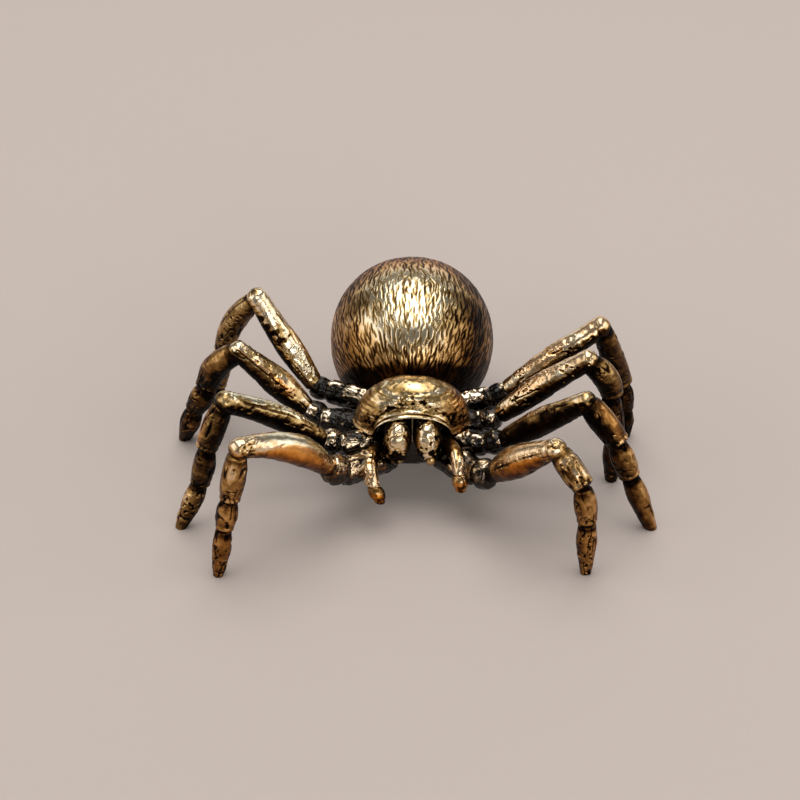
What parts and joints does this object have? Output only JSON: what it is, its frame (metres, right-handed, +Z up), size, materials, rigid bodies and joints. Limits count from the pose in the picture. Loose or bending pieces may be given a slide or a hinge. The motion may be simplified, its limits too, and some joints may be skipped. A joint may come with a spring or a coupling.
{
  "type": "spider figurine",
  "caption": "Small cast brass spider ornament: hairy round abdomen, domed shield over the head, bulging jaws, short feelers and sharply bent jointed legs that stand on flattened tips.",
  "frame": {"origin": "middle of the footprint's box, on the floor under the feet", "axes": "+Z up, -Y is the way that the spider looks, +X is its own left side"},
  "size_m": [0.0487, 0.0369, 0.0179],
  "materials": {
    "polished_brass": "cast brass, hand polished, with dark oxide left in the hollows",
    "aged_brass": "cast brass, brown patina with the raised parts rubbed bright",
    "blackened_brass": "cast brass under a black patina"
  },
  "bodies": {
    "root": {"body_core": "blackened_brass", "carapace": "polished_brass", "abdomen": "aged_brass", "chelicera_right": "polished_brass", "chelicera_left": "polished_brass", "fang_right": "polished_brass", "fang_left": "polished_brass", "pedipalp_right_base": "polished_brass", "pedipalp_right_tip": "polished_brass", "pedipalp_left_base": "polished_brass", "pedipalp_left_tip": "polished_brass", "front_right_coxa": "blackened_brass", "front_right_trochanter": "blackened_brass", "front_right_femur": "aged_brass", "front_right_tibia": "aged_brass", "front_right_metatarsus": "aged_brass", "front_right_tarsus": "aged_brass", "front_left_coxa": "blackened_brass", "front_left_trochanter": "blackened_brass", "front_left_femur": "aged_brass", "front_left_tibia": "aged_brass", "front_left_metatarsus": "aged_brass", "front_left_tarsus": "aged_brass", "second_right_coxa": "blackened_brass", "second_right_trochanter": "blackened_brass", "second_right_femur": "aged_brass", "second_right_tibia": "aged_brass", "second_right_metatarsus": "aged_brass", "second_right_tarsus": "aged_brass", "second_left_coxa": "blackened_brass", "second_left_trochanter": "blackened_brass", "second_left_femur": "aged_brass", "second_left_tibia": "aged_brass", "second_left_metatarsus": "aged_brass", "second_left_tarsus": "aged_brass", "third_right_coxa": "blackened_brass", "third_right_trochanter": "blackened_brass", "third_right_femur": "aged_brass", "third_right_tibia": "aged_brass", "third_right_metatarsus": "aged_brass", "third_right_tarsus": "aged_brass", "third_left_coxa": "blackened_brass", "third_left_trochanter": "blackened_brass", "third_left_femur": "aged_brass", "third_left_tibia": "aged_brass", "third_left_metatarsus": "aged_brass", "third_left_tarsus": "aged_brass", "rear_right_coxa": "blackened_brass", "rear_right_trochanter": "blackened_brass", "rear_right_femur": "aged_brass", "rear_right_tibia": "aged_brass", "rear_right_metatarsus": "aged_brass", "rear_right_tarsus": "aged_brass", "rear_left_coxa": "blackened_brass", "rear_left_trochanter": "blackened_brass", "rear_left_femur": "aged_brass", "rear_left_tibia": "aged_brass", "rear_left_metatarsus": "aged_brass", "rear_left_tarsus": "aged_brass"}
  },
  "joints": []
}
